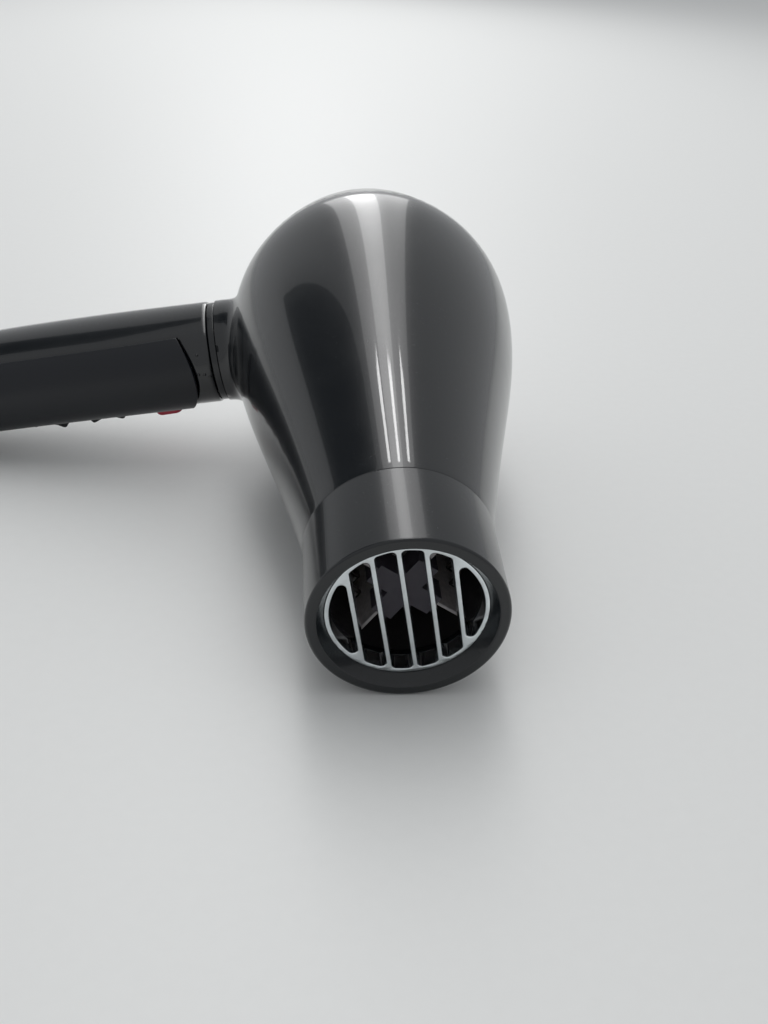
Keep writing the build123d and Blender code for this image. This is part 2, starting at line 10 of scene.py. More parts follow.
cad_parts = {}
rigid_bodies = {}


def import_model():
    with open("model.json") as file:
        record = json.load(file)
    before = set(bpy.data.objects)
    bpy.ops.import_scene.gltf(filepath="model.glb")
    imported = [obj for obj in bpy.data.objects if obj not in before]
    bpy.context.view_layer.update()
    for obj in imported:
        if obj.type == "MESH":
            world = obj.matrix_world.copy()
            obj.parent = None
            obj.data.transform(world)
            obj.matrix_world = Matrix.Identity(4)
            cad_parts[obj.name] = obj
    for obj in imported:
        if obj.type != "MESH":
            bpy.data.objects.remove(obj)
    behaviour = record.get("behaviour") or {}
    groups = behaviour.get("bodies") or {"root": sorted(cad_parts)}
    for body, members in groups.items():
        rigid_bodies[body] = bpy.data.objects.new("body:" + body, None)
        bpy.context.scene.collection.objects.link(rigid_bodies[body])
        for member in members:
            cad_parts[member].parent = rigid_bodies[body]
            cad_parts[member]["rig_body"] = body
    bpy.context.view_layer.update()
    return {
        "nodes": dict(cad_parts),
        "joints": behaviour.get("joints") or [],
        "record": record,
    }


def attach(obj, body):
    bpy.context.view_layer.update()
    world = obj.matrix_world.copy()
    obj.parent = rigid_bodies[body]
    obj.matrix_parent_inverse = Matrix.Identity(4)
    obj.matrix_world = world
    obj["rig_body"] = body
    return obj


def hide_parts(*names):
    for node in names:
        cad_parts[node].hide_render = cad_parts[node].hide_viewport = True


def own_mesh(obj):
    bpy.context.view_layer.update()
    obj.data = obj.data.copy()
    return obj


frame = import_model()

# Every piece is drawn about the barrel in millimetres: origin at the middle of the outlet rim,
# +Y back along the barrel, -X down the handle, +Z out of the side that faces up.
jointAxis = {joint["name"]: Vector(joint["axis"]).normalized() for joint in frame["joints"]}
collarMount = next(mount for mount in frame["record"]["mounts"] if mount["name"] == "nozzle_collar")
backAxis = jointAxis["rotor_spin"]
sideAxis = jointAxis["cool_shot_press"]
alongAxis = backAxis.cross(sideAxis).normalized()
rimCentre = Vector(collarMount["pos_m"]) - backAxis * 0.0147
barrelTurn = np.array((alongAxis, backAxis, sideAxis))
print("frame: barrel axis", [round(v, 4) for v in backAxis])


def toRow(points):
    # millimetres about the barrel to metres in the frame
    return np.asarray(points, float) @ barrelTurn / 1000 + np.array(rimCentre)


def smoothCurve(places, values, startSlope=None, endSlope=None):
    # cubic curve through the values, with free or given slopes at its ends
    places = np.array(places, float)
    values = np.array(values, float)
    count = len(places)
    gap = np.diff(places)
    rise = np.diff(values) / gap
    table = np.zeros((count, count))
    right = np.zeros(count)
    for i in range(1, count - 1):
        table[i, i - 1: i + 2] = 1 / gap[i - 1], 2 / gap[i - 1] + 2 / gap[i], 1 / gap[i]
        right[i] = 3 * (rise[i - 1] / gap[i - 1] + rise[i] / gap[i])
    if startSlope is None:
        table[0, :2] = 2, 1
        right[0] = 3 * rise[0]
    else:
        table[0, 0], right[0] = 1, startSlope
    if endSlope is None:
        table[-1, -2:] = 1, 2
        right[-1] = 3 * rise[-1]
    else:
        table[-1, -1], right[-1] = 1, endSlope
    slopes = np.linalg.solve(table, right)

    def at(place):
        place = np.asarray(place, float)
        k = np.clip(np.searchsorted(places, place) - 1, 0, count - 2)
        t = (place - places[k]) / gap[k]
        return (values[k] * (1 + 2 * t) * (1 - t) ** 2 + slopes[k] * gap[k] * t * (1 - t) ** 2
                + values[k + 1] * t * t * (3 - 2 * t) + slopes[k + 1] * gap[k] * t * t * (t - 1))
    return at


def roundedOutline(corners, steps=5):
    # corners as (across, along, rounding); gives the closed outline with each corner rounded
    outline = []
    for i, (x, y, rounding) in enumerate(corners):
        here = np.array((x, y), float)
        if rounding == 0:
            outline.append(here)
            continue
        before = np.array(corners[i - 1][:2]) - here
        after = np.array(corners[(i + 1) % len(corners)][:2]) - here
        reachBefore, reachAfter = np.linalg.norm(before), np.linalg.norm(after)
        before, after = before / reachBefore, after / reachAfter
        half = math.acos(np.clip(before @ after, -1, 1)) / 2
        reach = min(rounding / math.tan(half), 0.48 * reachBefore, 0.48 * reachAfter)
        radius = reach * math.tan(half)
        middle = before + after
        centre = here + middle / np.linalg.norm(middle) * radius / math.sin(half)
        first, last = here + before * reach - centre, here + after * reach - centre
        turn = math.pi - 2 * half
        for step in range(steps + 1):
            t = step / steps
            swing = math.sin((1 - t) * turn) * first + math.sin(t * turn) * last
            outline.append(centre + swing / math.sin(turn))
    return np.array(outline)


def circle(radius, y, angles):
    # points round the barrel's axis
    return np.stack([radius * np.cos(angles), y + 0 * angles, radius * np.sin(angles)], -1)


meshWork = {"weldDistance": 1e-7, "bevelAngle": 40.0, "sharpAngle": 38.0, "normalWeight": 80}


class Sheet:
    # points and faces of one piece while it is put together

    def __init__(self):
        self.points = []
        self.faces = []

    def loop(self, points):
        start = len(self.points)
        self.points.extend(np.asarray(points, float).tolist())
        return list(range(start, len(self.points)))

    def band(self, first, second, closed=True):
        count = len(first)
        for i in range(count if closed else count - 1):
            j = (i + 1) % count
            self.faces.append((first[i], first[j], second[j], second[i]))

    def loft(self, loops, capStart=False, capEnd=False, ring=False):
        made = [self.loop(points) for points in loops]
        for first, second in zip(made, made[1:]):
            self.band(first, second)
        if ring:
            self.band(made[-1], made[0])
        if capStart:
            self.faces.append(tuple(reversed(made[0])))
        if capEnd:
            self.faces.append(tuple(made[-1]))
        return made

    def mesh(self, name):
        mesh = bpy.data.meshes.new(name)
        mesh.from_pydata(toRow(self.points).tolist(), [], self.faces)
        mesh.validate()
        work = bmesh.new()
        work.from_mesh(mesh)
        bmesh.ops.remove_doubles(work, verts=work.verts, dist=meshWork["weldDistance"])
        bmesh.ops.recalc_face_normals(work, faces=work.faces)
        work.to_mesh(mesh)
        work.free()
        return mesh

    def lathe(self, outline, segments, axis="back", centre=0.0):
        # outline of (radius, distance) turned about the barrel, or about a line down the handle
        angles = np.linspace(0, 2 * math.pi, segments, endpoint=False)
        loops = []
        for radius, distance in outline:
            ring = np.zeros((segments, 3))
            ring[:, 2] = radius * np.sin(angles)
            if axis == "back":
                ring[:, 0] = radius * np.cos(angles)
                ring[:, 1] = distance
            else:
                ring[:, 1] = centre + radius * np.cos(angles)
                ring[:, 0] = -distance
            loops.append(ring)
        return self.loft(loops, ring=True)


def addPiece(name, sheet, finish, node, thickness=0.0, bevel=0.0, bevelSteps=3):
    mesh = sheet.mesh(name)
    mesh.polygons.foreach_set("use_smooth", [True] * len(mesh.polygons))
    mesh.materials.append(finish)
    piece = bpy.data.objects.new(name, mesh)
    bpy.context.scene.collection.objects.link(piece)
    if thickness:
        wall = piece.modifiers.new("wall", "SOLIDIFY")
        wall.thickness = thickness / 1000
        wall.offset = -1
        wall.use_even_offset = True
    if bevel:
        edge = piece.modifiers.new("edge", "BEVEL")
        edge.width = bevel / 1000
        edge.segments = bevelSteps
        edge.limit_method = "ANGLE"
        edge.angle_limit = math.radians(meshWork["bevelAngle"])
    shading = piece.modifiers.new("shading", "WEIGHTED_NORMAL")
    shading.weight = meshWork["normalWeight"]
    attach(piece, frame["nodes"][node]["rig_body"])
    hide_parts(node)
    return piece


def outwards(sheet, centreOf):
    # turns the faces of an open sheet so that they look away from centreOf(point)
    points = np.array(sheet.points)
    turned = []
    for face in sheet.faces:
        corner = points[list(face)]
        normal = np.cross(corner[1] - corner[0], corner[2] - corner[0])
        if np.linalg.norm(normal) < 1e-9:   # first two corners in one place
            normal = np.cross(corner[2] - corner[0], corner[3] - corner[0])
        middle = corner.mean(0)
        turned.append(face if normal @ (middle - centreOf(middle)) >= 0 else tuple(reversed(face)))
    sheet.faces = turned


class Wire:
    # one shader value, so that shader maths reads as sums

    def __init__(self, tree, socket):
        self.tree = tree
        self.socket = socket

    def maths(self, operation, *values):
        node = self.tree.nodes.new("ShaderNodeMath")
        node.operation = operation
        for place, value in enumerate(values):
            if isinstance(value, Wire):
                self.tree.links.new(value.socket, node.inputs[place])
            else:
                node.inputs[place].default_value = value
        return Wire(self.tree, node.outputs[0])

    def __add__(self, other):
        return self.maths("ADD", self, other)

    def __radd__(self, other):
        return self.maths("ADD", other, self)

    def __sub__(self, other):
        return self.maths("SUBTRACT", self, other)

    def __rsub__(self, other):
        return self.maths("SUBTRACT", other, self)

    def __mul__(self, other):
        return self.maths("MULTIPLY", self, other)

    def __rmul__(self, other):
        return self.maths("MULTIPLY", other, self)

    def __truediv__(self, other):
        return self.maths("DIVIDE", self, other)

    def __rtruediv__(self, other):
        return self.maths("DIVIDE", other, self)

    def above(self, edge, softness):
        # 0 below the edge, 1 above it, over the softness
        clipped = self.maths("MAXIMUM", (self - edge) / softness + 0.5, 0.0)
        return clipped.maths("MINIMUM", clipped, 1.0)


class Finish:
    # one material and the nodes that make it

    def __init__(self, name, **settings):
        self.material = bpy.data.materials.new(name)
        self.material.use_nodes = True
        self.tree = self.material.node_tree
        self.shader = self.tree.nodes["Principled BSDF"]
        self.place = self.node("ShaderNodeTexCoord", output="Object")
        self.set(**settings)

    def node(self, kind, settings=(), values=(), output=0):
        node = self.tree.nodes.new(kind)
        for key, value in dict(settings).items():
            setattr(node, key, value)
        for key, value in dict(values).items():
            if isinstance(value, Wire):
                self.tree.links.new(value.socket, node.inputs[key])
            else:
                node.inputs[key].default_value = value
        return Wire(self.tree, node.outputs[output])

    def set(self, **values):
        names = {"colour": "Base Color", "roughness": "Roughness", "metallic": "Metallic",
                 "normal": "Normal", "coat": "Coat Weight", "coatRoughness": "Coat Roughness", "ior": "IOR"}
        for key, value in values.items():
            socket = self.shader.inputs[names[key]]
            if isinstance(value, Wire):
                self.tree.links.new(value.socket, socket)
            else:
                socket.default_value = value

    def stretched(self, scale, turn=(0, 0, 0)):
        # the same place with its scale changed, for marks that run one way
        return self.node("ShaderNodeMapping", {}, {"Vector": self.place, "Scale": scale, "Rotation": turn})

    def noise(self, scale, detail=3.0, roughness=0.5, place=None, distortion=0.0):
        return self.node("ShaderNodeTexNoise", {}, {
            "Vector": place or self.place, "Scale": scale, "Detail": detail,
            "Roughness": roughness, "Distortion": distortion})

    def cells(self, scale):
        return self.node("ShaderNodeTexVoronoi", {}, {"Vector": self.place, "Scale": scale})

    def mix(self, share, first, second):
        # a colour mix has its factor at socket 0, its colours at 6 and 7 and its result at 2
        return self.node("ShaderNodeMix", {"data_type": "RGBA"}, {0: share, 6: first, 7: second}, output=2)

    def bump(self, height, strength, distance):
        return self.node("ShaderNodeBump", {},
                         {"Height": height, "Strength": strength, "Distance": distance})


def rgb(red, green, blue):
    return (red, green, blue, 1.0)


def lighter(colour, factor):
    return rgb(*[value * factor for value in colour[:3]])


# roughness and strengths are shares, scales count waves in a metre and depths are in metres
shellLook = {"colour": rgb(0.0020, 0.0033, 0.0050), "dust": rgb(0.040, 0.042, 0.045), "roughness": 0.24,
             "smear": 0.14, "scratch": 0.04, "coat": 0.60}
collarLook = {"colour": rgb(0.0035, 0.0050, 0.0068), "dust": rgb(0.034, 0.037, 0.042), "roughness": 0.23,
              "smear": 0.06, "scratch": 0.02, "coat": 0.25}
gripLook = {"colour": rgb(0.0020, 0.0032, 0.0062), "roughness": 0.34, "grain": 0.22}
switchLook = {"colour": rgb(0.0080, 0.0085, 0.0100), "roughness": 0.32, "grain": 0.15}
buttonLook = {"colour": rgb(0.42, 0.030, 0.055), "roughness": 0.32, "grain": 0.10}
chromeLook = {"colour": rgb(0.80, 0.85, 0.87), "stain": rgb(0.42, 0.42, 0.42), "roughness": 0.17}
plasticDetail = {"ior": 1.50, "coatRoughness": 0.04, "smearScale": 55.0, "cloudScale": 14.0,
                 "speckScale": 1900.0, "speckEdge": 0.735, "speckSoftness": 0.03, "speckRough": 0.2,
                 "dustShare": 0.8, "rubScale": 900.0, "rubStretch": (1.0, 0.04, 1.0),
                 "rubTurn": (0.3, 0.2, 0.5), "rubDepth": 0.00006}
grainDetail = {"ior": 1.48, "grainScale": 3300.0, "patchScale": 40.0, "fineScale": 1500.0, "lighter": 1.9,
               "grainShare": 0.25, "patchShare": 0.2, "patchRough": 0.12, "depth": 0.00004}
platedDetail = {"cloudScale": 160.0, "cloudEdge": 0.62, "cloudSoftness": 0.35, "stainShare": 0.5,
                "cloudRough": 0.10, "rippleScale": 420.0, "ripple": 0.05, "depth": 0.0001}
metalDetail = {"markEdge": 0.5, "markSoftness": 0.4, "markRough": 0.2, "drawnScale": 700.0,
               "drawnStretch": (1.0, 0.06, 1.0), "drawn": 0.10, "depth": 0.00008}
dullDetail = {"patchScale": 500.0, "broadShare": 1 / 12, "patchRough": 0.15, "bump": 0.2, "depth": 0.00008}
micaDetail = {"ior": 1.56, "flakeScale": 900.0, "layerScale": 2500.0, "layerStretch": (1.0, 0.1, 1.0),
              "burntShare": 0.3, "roughness": 0.32, "flakeRough": 0.25, "bump": 0.25, "depth": 0.00006}


def plasticFinish(name, look):
    # moulded plastic with faint smears, a little dust and fine rubbing
    detail = plasticDetail
    finish = Finish(name, ior=detail["ior"], coat=look["coat"], coatRoughness=detail["coatRoughness"])
    smear = finish.noise(detail["smearScale"], 4.0, 0.6, distortion=0.4)
    cloud = finish.noise(detail["cloudScale"], 2.0)
    speck = finish.noise(detail["speckScale"], 2.0, 0.6).above(detail["speckEdge"], detail["speckSoftness"])
    rubPlace = finish.stretched(detail["rubStretch"], detail["rubTurn"])
    rub = finish.noise(detail["rubScale"], 2.0, place=rubPlace)
    finish.set(colour=finish.mix(speck * cloud * detail["dustShare"], look["colour"], look["dust"]),
               roughness=look["roughness"] + (smear - 0.5) * look["smear"] + speck * detail["speckRough"],
               normal=finish.bump(rub, look["scratch"], detail["rubDepth"]))
    return finish.material


def grainedFinish(name, look):
    # spark-eroded plastic, duller than the shell
    detail = grainDetail
    finish = Finish(name, ior=detail["ior"])
    grain = finish.cells(detail["grainScale"])
    patch = finish.noise(detail["patchScale"], 3.0)
    finish.set(colour=finish.mix(grain * detail["grainShare"] + patch * detail["patchShare"],
                                 look["colour"], lighter(look["colour"], detail["lighter"])),
               roughness=look["roughness"] + (patch - 0.5) * detail["patchRough"],
               normal=finish.bump(grain + finish.noise(detail["fineScale"], 2.0),
                                  look["grain"], detail["depth"]))
    return finish.material


def platedFinish(name, look):
    # plated plastic, slightly clouded by heat
    detail = platedDetail
    finish = Finish(name, metallic=1.0)
    cloud = finish.noise(detail["cloudScale"], 4.0, 0.6).above(detail["cloudEdge"], detail["cloudSoftness"])
    ripple = finish.noise(detail["rippleScale"], 2.0)
    finish.set(colour=finish.mix(cloud * detail["stainShare"], look["colour"], look["stain"]),
               roughness=look["roughness"] + cloud * detail["cloudRough"],
               normal=finish.bump(ripple, detail["ripple"], detail["depth"]))
    return finish.material


def metalFinish(name, colour, roughness, stain, scale=260.0):
    # bare metal with stains and fine marks along one way
    detail = metalDetail
    finish = Finish(name, metallic=1.0)
    mark = finish.noise(scale, 4.0, 0.6)
    drawn = finish.noise(detail["drawnScale"], 2.0, place=finish.stretched(detail["drawnStretch"]))
    finish.set(colour=finish.mix(mark.above(detail["markEdge"], detail["markSoftness"]), colour, stain),
               roughness=roughness + (mark - 0.5) * detail["markRough"],
               normal=finish.bump(drawn, detail["drawn"], detail["depth"]))
    return finish.material


def dullFinish(name, colour, roughness, fleck):
    # rubber, resin and plain inner plastics
    detail = dullDetail
    finish = Finish(name)
    patch = finish.noise(detail["patchScale"], 4.0, 0.6)
    broad = finish.noise(detail["patchScale"] * detail["broadShare"], 2.0)
    finish.set(colour=finish.mix(patch * broad, colour, fleck),
               roughness=roughness + (patch - 0.5) * detail["patchRough"],
               normal=finish.bump(patch, detail["bump"], detail["depth"]))
    return finish.material


def micaFinish(name, pale, flaked, burnt):
    # layered mica paper, flaky, browned where it runs hot
    detail = micaDetail
    finish = Finish(name, ior=detail["ior"])
    flake = finish.cells(detail["flakeScale"])
    layer = finish.noise(detail["layerScale"], 3.0, place=finish.stretched(detail["layerStretch"]))
    tone = finish.mix(flake, pale, flaked)
    finish.set(colour=finish.mix(layer * detail["burntShare"], tone, burnt),
               roughness=detail["roughness"] + flake * detail["flakeRough"],
               normal=finish.bump(flake + layer, detail["bump"], detail["depth"]))
    return finish.material


finishes = {
    "gloss_black": plasticFinish("glossShell", shellLook),
    "satin_black": plasticFinish("satinCollar", collarLook),
    "grip_black": grainedFinish("gripPanel", gripLook),
    "switch_black": grainedFinish("switchPlastic", switchLook),
    "button_red": grainedFinish("buttonRed", buttonLook),
    "chrome_plate": platedFinish("platedGrille", chromeLook),
    "filter_mesh": metalFinish("filterMesh", rgb(0.20, 0.20, 0.21), 0.35, rgb(0.09, 0.09, 0.09)),
    "steel": metalFinish("screwSteel", rgb(0.50, 0.51, 0.52), 0.28, rgb(0.28, 0.27, 0.26)),
    "brass": metalFinish("terminalBrass", rgb(0.62, 0.47, 0.22), 0.30, rgb(0.40, 0.28, 0.12)),
    "rubber_black": dullFinish("inletRubber", rgb(0.014, 0.014, 0.015), 0.62, rgb(0.035, 0.034, 0.033)),
    "mica": micaFinish("micaPaper", rgb(0.46, 0.43, 0.44), rgb(0.66, 0.62, 0.62), rgb(0.25, 0.20, 0.17)),
    "hub_grey": dullFinish("hubResin", rgb(0.060, 0.052, 0.066), 0.50, rgb(0.11, 0.10, 0.12)),
    "nichrome": metalFinish("heatingWire", rgb(0.34, 0.32, 0.31), 0.36, rgb(0.15, 0.12, 0.11), 900.0),
    "nylon_grey": dullFinish("nylonGrey", rgb(0.22, 0.22, 0.23), 0.50, rgb(0.32, 0.32, 0.33)),
    "magnet": dullFinish("magnetFerrite", rgb(0.045, 0.045, 0.048), 0.55, rgb(0.10, 0.10, 0.10)),
    "fan_plastic": dullFinish("fanPlastic", rgb(0.10, 0.10, 0.11), 0.42, rgb(0.15, 0.15, 0.16)),
    "circuit_board": dullFinish("circuitBoard", rgb(0.16, 0.10, 0.045), 0.45, rgb(0.26, 0.18, 0.09)),
}
darkTube = micaFinish("micaTube", rgb(0.020, 0.019, 0.020), rgb(0.034, 0.031, 0.032),
                      rgb(0.012, 0.010, 0.010))
for node, piece in frame["nodes"].items():
    slot = piece.data.materials[0].name.split(".")[0]
    piece.data.materials.clear()
    piece.data.materials.append(darkTube if node == "mica_tube" else finishes[slot])
print("finishes:", len(finishes))

# sizes in millimetres, angles in degrees
barrel = {"frontY": 28.7, "frontRadius": 24.8, "midY": 80.4, "midRadius": 35.6, "bellyY": 132.0,
          "bellyRadius": 45.4, "rearY": 158.0, "rearRadius": 43.2, "frontSlope": 0.17, "rearSlope": -0.34,
          "wall": 2.4, "edge": 0.35, "segments": 144, "rowLength": 2.1}
neck = {"centreY": 145.5, "halfDepth": 17.8, "halfWidth": 16.4, "endX": 49.8, "footFront": 118.6,
        "footRear": 157.2, "footWidth": 21.6, "footSteps": 8, "passage": 4.5, "passageForward": 3.0,
        "passageEndX": 45.0, "innerForward": 7.0, "edge": 0.35, "windowFront": 102.0, "windowAngle": 47.0,
        "windowSteps": 34, "flareSteps": 12, "flarePull": 0.42, "endPull": 5.5}

barrelLine = smoothCurve((barrel["frontY"], barrel["midY"], barrel["bellyY"], barrel["rearY"]),
                         (barrel["frontRadius"], barrel["midRadius"], barrel["bellyRadius"],
                          barrel["rearRadius"]), barrel["frontSlope"], barrel["rearSlope"])


def barrelSkin(sheet, inset, front, rear, foot):
    # barrel surface with a window round the neck, and quads from the window to the foot of the neck
    windowAngle = math.radians(neck["windowAngle"])
    across = neck["windowSteps"]
    windowFront, rowLength = neck["windowFront"], barrel["rowLength"]
    windowAngles = np.linspace(-windowAngle, windowAngle, across + 1)
    restAngles = np.linspace(windowAngle, 2 * math.pi - windowAngle, barrel["segments"] - across + 1)[1:-1]
    angles = np.concatenate([windowAngles, restAngles])
    frontRows = np.linspace(front, windowFront, int((windowFront - front) / rowLength) + 1)
    windowRows = np.linspace(windowFront, rear, int((rear - windowFront) / rowLength) + 1)
    rows = np.concatenate([frontRows, windowRows[1:]])

    def point(y, angle):
        radius = barrelLine(y) - inset
        return np.stack([-radius * np.cos(angle), y + 0 * angle, radius * np.sin(angle)], -1)

    loops = [sheet.loop(point(np.full(len(angles), y), angles)) for y in rows]
    lastFront = len(frontRows) - 1
    for index, (first, second) in enumerate(zip(loops, loops[1:])):
        if index < lastFront:
            sheet.band(first, second)
        else:
            sheet.band(first[across:] + first[:1], second[across:] + second[:1], closed=False)
    window = [loops[lastFront][k] for k in range(across + 1)]
    window += [loop[across] for loop in loops[lastFront + 1:]]
    window += [loops[-1][k] for k in range(across - 1, -1, -1)]
    window += [loop[0] for loop in reversed(loops[lastFront + 1:-1])]
    corners = np.array([sheet.points[k] for k in window])
    cornerY = corners[:, 1]
    cornerAngle = np.arctan2(corners[:, 2], -corners[:, 0])
    centreY, halfDepth, halfWidth = foot
    turn = np.arctan2(corners[:, 2] / halfWidth, (cornerY - centreY) / halfDepth)
    footY = centreY + halfDepth * np.cos(turn)
    footZ = halfWidth * np.sin(turn)
    footAngle = np.arcsin(footZ / (barrelLine(footY) - inset))
    last = window
    for t in np.arange(1, neck["footSteps"] + 1) / neck["footSteps"]:
        ring = sheet.loop(point(cornerY + (footY - cornerY) * t,
                                cornerAngle + (footAngle - cornerAngle) * t))
        sheet.band(last, ring)
        last = ring
    return loops[0], loops[-1], last, turn


def barrelShell():
    sheet = Sheet()
    edge = barrel["edge"]
    wall = barrel["wall"]
    passage = neck["passage"]
    footMiddle = (neck["footFront"] + neck["footRear"]) / 2
    footHalf = (neck["footRear"] - neck["footFront"]) / 2
    front, rear = barrel["frontY"], barrel["rearY"]
    outer = barrelSkin(sheet, 0, front + edge, rear - edge, (footMiddle, footHalf, neck["footWidth"]))
    inner = barrelSkin(sheet, wall, front + edge, rear - edge,
                       (neck["centreY"] - neck["innerForward"], neck["halfDepth"] - passage,
                        neck["halfWidth"] - passage))
    angles = np.arctan2([sheet.points[k][2] for k in outer[0]], [sheet.points[k][0] for k in outer[0]])

    def bend(degrees):
        # how far a rounded edge stands back from its two faces at this angle
        turn = math.radians(degrees)
        return edge * (1 - math.sin(turn)), edge * (1 - math.cos(turn))

    for outside, inside, y, sign in ((outer[0], inner[0], front, -1), (outer[1], inner[1], rear, 1)):
        radius = float(barrelLine(y))
        stages = [(lift, radius - cut) for lift, cut in map(bend, (30, 60, 90))]
        stages += [(0, radius - wall + edge)]
        stages += [(lift, radius - wall + cut) for lift, cut in map(bend, (60, 30))]
        last = outside
        for lift, reach in stages:
            ring = sheet.loop(circle(reach, y - sign * lift, angles))
            sheet.band(last, ring)
            last = ring
        sheet.band(last, inside)

    # neck: leaves the barrel along its surface and ends straight down the handle
    foot = np.array([sheet.points[k] for k in outer[2]])
    turn = outer[3]
    ring = np.stack([-neck["endX"] + 0 * turn, neck["centreY"] + neck["halfDepth"] * np.cos(turn),
                     neck["halfWidth"] * np.sin(turn)], -1)
    inwards = ring - foot
    slope = (barrelLine(foot[:, 1] + 0.1) - barrelLine(foot[:, 1] - 0.1)) / 0.2
    radius = barrelLine(foot[:, 1])
    normal = np.stack([foot[:, 0] / radius, -slope, foot[:, 2] / radius], -1)
    normal /= np.linalg.norm(normal, axis=1)[:, None]
    tangent = inwards - normal * (inwards * normal).sum(1)[:, None]
    tangent /= np.maximum(np.linalg.norm(tangent, axis=1), 1e-6)[:, None]
    pull = np.linalg.norm(inwards, axis=1)[:, None] * neck["flarePull"]
    leaving = foot + tangent * pull
    arriving = ring + np.array((1.0, 0, 0)) * np.minimum(pull, neck["endPull"])
    last = outer[2]
    for t in np.arange(1, neck["flareSteps"] + 1) / neck["flareSteps"]:
        loop = sheet.loop(foot * (1 - t) ** 3 + 3 * leaving * t * (1 - t) ** 2
                          + 3 * arriving * t * t * (1 - t) + ring * t ** 3)
        sheet.band(last, loop)
        last = loop

    # rounded end face of the neck, then the passage through it
    lift, cut = bend(30)
    endX = neck["endX"]
    for inset, x in ((cut, endX - lift), (lift, endX - cut), (edge, endX), (passage - edge, endX),
                     (passage, endX + 0.1 - edge), (passage, neck["passageEndX"])):
        forward = neck["passageForward"] * min(inset / passage, 1)
        loop = sheet.loop(np.stack([-x + 0 * turn,
                                    neck["centreY"] - forward + (neck["halfDepth"] - inset) * np.cos(turn),
                                    (neck["halfWidth"] - inset) * np.sin(turn)], -1))
        sheet.band(last, loop)
        last = loop
    sheet.band(last, inner[2])
    addPiece("barrelShell", sheet, finishes["gloss_black"], "barrel_shell")


barrelShell()

collar = {"rimRadius": 25.0, "round": 0.9, "face": 2.8, "faceRound": 0.45, "middle": 14.0, "length": 28.5,
          "sleeveRadius": 22.2, "sleeveEnd": 35.7, "wall": 1.3, "seatRadius": 20.3, "recess": 3.4,
          "seatBack": 8.6, "seatStep": 2.0, "lip": 1.2, "segments": 160}


def frontCollar():
    rim = collar["rimRadius"]
    seat = collar["seatRadius"]
    lip = seat - collar["lip"]
    sleeve = collar["sleeveRadius"]
    bore = sleeve - collar["wall"]
    sheet = Sheet()
    outline = roundedOutline([
        (rim, 0, collar["round"]), (rim, collar["middle"], 0), (rim, collar["length"], 0.25),
        (sleeve, collar["length"], 0.2), (sleeve, collar["sleeveEnd"], 0.4), (bore, collar["sleeveEnd"], 0.4),
        (bore, collar["seatBack"] + collar["seatStep"] + 0.2, 0.4),
        (lip, collar["seatBack"] + collar["seatStep"], 0.4), (lip, collar["seatBack"], 0.15),
        (seat, collar["seatBack"], 0.1), (seat, collar["recess"], 0.15),
        (rim - collar["face"], 0, collar["faceRound"])])
    sheet.lathe(outline, collar["segments"])
    addPiece("frontCollar", sheet, finishes["satin_black"], "front_collar")


frontCollar()

grille = {"radius": 20.2, "inner": 19.0, "front": 3.4, "back": 8.4, "slats": 5, "pitch": 6.45,
          "slatFront": 1.15, "slatBack": 1.8, "corner": 1.25, "edge": 0.22, "segments": 160,
          "cornerSteps": 7, "longArcSteps": 41, "shortArcSteps": 9, "outerSideSteps": 14, "sideSteps": 18}


def openingOutline(low, high, radius, corner):
    # one opening between two slats, or between a slat and the ring, with rounded corners
    inner = radius - corner
    cornerSteps = grille["cornerSteps"]
    outline = []

    def arc(centre, reach, start, end, count=cornerSteps):
        for angle in np.linspace(start, end, count):
            outline.append((centre[0] + reach * math.cos(angle), centre[1] + reach * math.sin(angle)))

    def side(start, end, count):
        for share in np.linspace(0, 1, count)[1:-1]:
            outline.append((start[0], start[1] + (end[1] - start[1]) * share))

    def cornerAt(edge, inward):
        x = edge + inward * corner
        y = math.sqrt(inner * inner - x * x)
        return x, y, math.atan2(y, x)

    if low is None:
        x, y, angle = cornerAt(high, -1)
        arc((x, -y), corner, 0, -angle)
        arc((0, 0), radius, -angle, -2 * math.pi + angle, grille["longArcSteps"])
        arc((x, y), corner, angle, 0)
        side(outline[-1], outline[0], grille["outerSideSteps"])
    elif high is None:
        x, y, angle = cornerAt(low, 1)
        arc((x, y), corner, math.pi, angle)
        arc((0, 0), radius, angle, -angle, grille["longArcSteps"])
        arc((x, -y), corner, -angle, -math.pi)
        side(outline[-1], outline[0], grille["outerSideSteps"])
    else:
        lowX, lowY, lowAngle = cornerAt(low, 1)
        highX, highY, highAngle = cornerAt(high, -1)
        arc((lowX, lowY), corner, math.pi, lowAngle)
        arc((0, 0), radius, lowAngle, highAngle, grille["shortArcSteps"])
        arc((highX, highY), corner, highAngle, 0)
        side((high, highY), (high, -highY), grille["sideSteps"])
        arc((highX, -highY), corner, 0, -highAngle)
        arc((0, 0), radius, -highAngle, -lowAngle, grille["shortArcSteps"])
        arc((lowX, -lowY), corner, -lowAngle, -math.pi)
        side((low, -lowY), (low, lowY), grille["sideSteps"])
    return np.array(outline)


